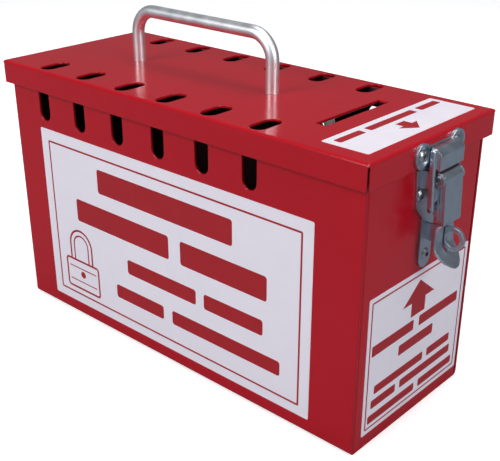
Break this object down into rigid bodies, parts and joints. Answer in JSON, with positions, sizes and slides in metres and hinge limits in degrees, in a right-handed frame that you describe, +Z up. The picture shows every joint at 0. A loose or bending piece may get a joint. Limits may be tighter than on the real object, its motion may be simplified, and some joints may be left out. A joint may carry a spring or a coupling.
{
  "type": "group lockout box",
  "caption": "Red steel lockout box with hinged lid, padlock slots along both long edges, a key slot, a bent rod carry handle and a draw latch with a padlock eye.",
  "frame": {"origin": "centre of the body's flat bottom face", "axes": "+X along the length towards the latch end, +Y towards the rear long wall, +Z up through the lid"},
  "size_m": [0.2805, 0.1058, 0.186],
  "materials": {
    "red_paint": "gloss",
    "zinc_steel": "satin",
    "bright_steel": "polished",
    "rivet_steel": "satin",
    "fixing_steel": "satin",
    "label_vinyl": "gloss"
  },
  "bodies": {
    "box_body": {"body_wrap": "red_paint", "end_panel_right": "red_paint", "end_panel_left": "red_paint", "hinge_leaf_body": "zinc_steel", "hinge_pin": "fixing_steel", "hinge_rivets_body": "rivet_steel", "latch_base": "zinc_steel", "padlock_eye": "zinc_steel", "latch_base_rivets": "rivet_steel", "lever_pivot_pin": "fixing_steel", "front_label": "label_vinyl", "end_label": "label_vinyl"},
    "lid_body": {"lid": "red_paint", "key_slot_guard": "zinc_steel", "carry_handle": "bright_steel", "handle_screws": "fixing_steel", "handle_washers": "fixing_steel", "hinge_leaf_lid": "zinc_steel", "hinge_rivets_lid": "rivet_steel", "latch_keeper": "zinc_steel", "keeper_rivets": "rivet_steel", "top_label": "label_vinyl"},
    "lever_body": {"latch_lever": "zinc_steel", "link_pivot_pins": "fixing_steel"},
    "link_body": {"latch_link": "zinc_steel"}
  },
  "joints": [
    {"name": "lid_hinge", "type": "hinge", "parent": "box_body", "child": "lid_body", "pos_m": [-0.1294, 0, 0.1376], "axis": [0, -1, 0], "range_deg": [0, 150]},
    {"name": "lever_pivot", "type": "hinge", "parent": "box_body", "child": "lever_body", "pos_m": [0.1365, 0.0012, 0.1345], "axis": [0, -1, 0], "range_deg": [0, 110]},
    {"name": "link_pivot", "type": "hinge", "parent": "lever_body", "child": "link_body", "pos_m": [0.135, 0.0012, 0.1204], "axis": [0, -1, 0], "range_deg": [-64, 0]}
  ],
  "couplings": [
    {"joint": "link_pivot", "follows": "lever_pivot", "ratio": -0.58}
  ]
}
